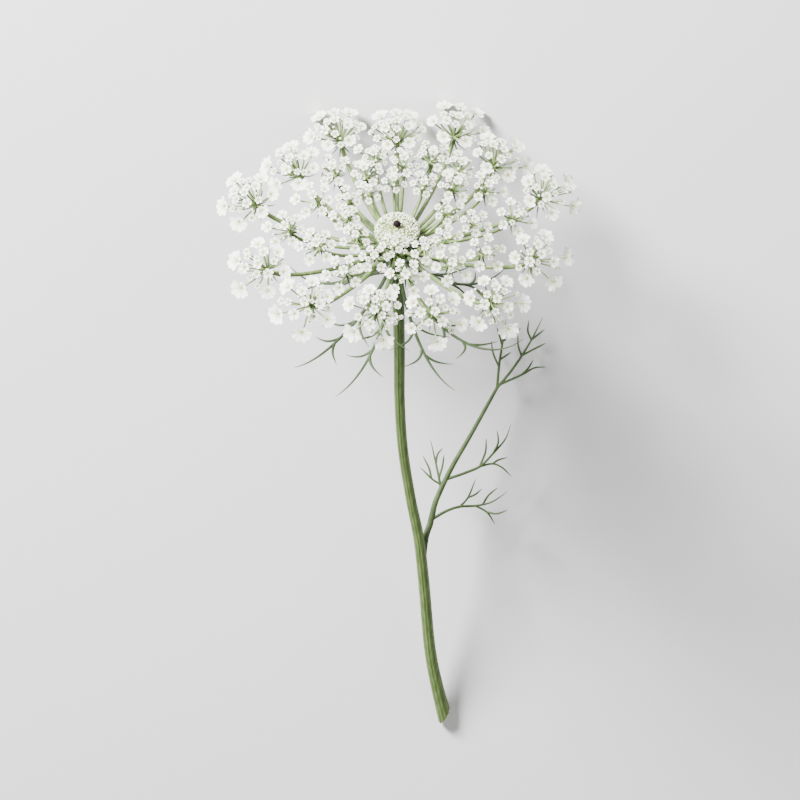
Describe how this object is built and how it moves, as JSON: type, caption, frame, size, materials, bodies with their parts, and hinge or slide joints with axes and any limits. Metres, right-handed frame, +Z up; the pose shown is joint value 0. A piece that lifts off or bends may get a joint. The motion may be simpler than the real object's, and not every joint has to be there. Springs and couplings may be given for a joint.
{
  "type": "queen annes lace flower",
  "caption": "Cut wild carrot flower lying down: a flat lacy umbel of small white florets round a dark centre, feathery bracts and a leaf.",
  "frame": {"origin": "bottom centre of the box round the flower as it lies on a surface", "axes": "+Z up from the surface, +Y from the stem's cut end towards the umbel, +X to the side that the leaf is on"},
  "size_m": [0.1102, 0.1982, 0.107],
  "materials": {
    "stem": "matte",
    "leaf": "matte",
    "bract": "matte",
    "florets": "matte",
    "cushion": "matte",
    "dark_floret": "satin"
  },
  "bodies": {
    "root": {"stem": "stem", "leaf": "leaf", "central_cushion": "cushion", "dark_floret": "dark_floret", "bract_1": "bract", "bract_2": "bract", "bract_3": "bract", "bract_4": "bract", "bract_5": "bract", "bract_6": "bract", "bract_7": "bract", "bract_8": "bract", "umbellet_01": "florets", "umbellet_02": "florets", "umbellet_03": "florets", "umbellet_04": "florets", "umbellet_05": "florets", "umbellet_06": "florets", "umbellet_07": "florets", "umbellet_08": "florets", "umbellet_09": "florets", "umbellet_10": "florets", "umbellet_11": "florets", "umbellet_12": "florets", "umbellet_13": "florets", "umbellet_14": "florets", "umbellet_15": "florets", "umbellet_16": "florets", "umbellet_17": "florets", "umbellet_18": "florets", "umbellet_19": "florets", "umbellet_20": "florets", "umbellet_21": "florets", "umbellet_22": "florets", "umbellet_23": "florets", "umbellet_24": "florets", "umbellet_25": "florets", "umbellet_26": "florets", "umbellet_27": "florets", "umbellet_28": "florets", "umbellet_29": "florets", "umbellet_30": "florets", "umbellet_31": "florets", "umbellet_32": "florets", "umbellet_33": "florets", "umbellet_34": "florets", "umbellet_35": "florets", "umbellet_36": "florets", "umbellet_37": "florets", "umbellet_38": "florets", "umbellet_39": "florets", "umbellet_40": "florets", "umbellet_41": "florets"}
  },
  "joints": []
}
